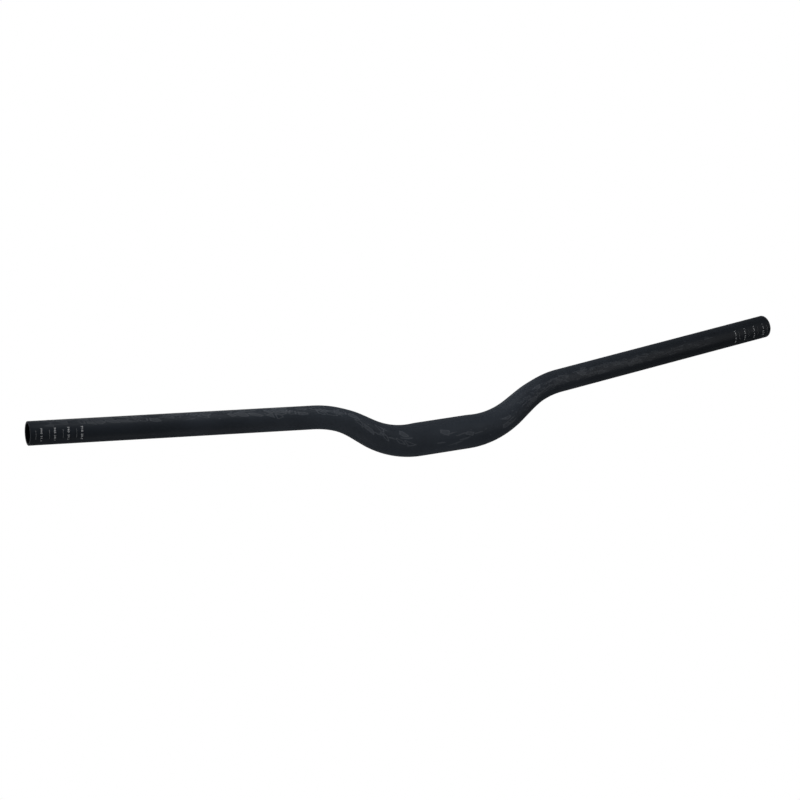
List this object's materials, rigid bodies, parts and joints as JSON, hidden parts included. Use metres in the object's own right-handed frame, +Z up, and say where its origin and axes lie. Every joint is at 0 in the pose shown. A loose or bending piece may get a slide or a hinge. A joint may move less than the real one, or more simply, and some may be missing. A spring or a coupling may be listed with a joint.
{
  "type": "riser handlebar",
  "caption": "Hollow black riser handlebar: a fat round stem clamp zone in the middle, tapered bends up to straight grips that sweep back and up, open ends.",
  "frame": {"origin": "middle of the stem clamp zone, on its axis", "axes": "+X along the clamp zone towards one grip, +Y back towards the rider, +Z up, as fitted on the bike"},
  "size_m": [0.8032, 0.0676, 0.0804],
  "materials": {
    "black_finish": "matte black over aluminium, with tone-on-tone print"
  },
  "bodies": {
    "root": {"handlebar": "black_finish"}
  },
  "joints": []
}
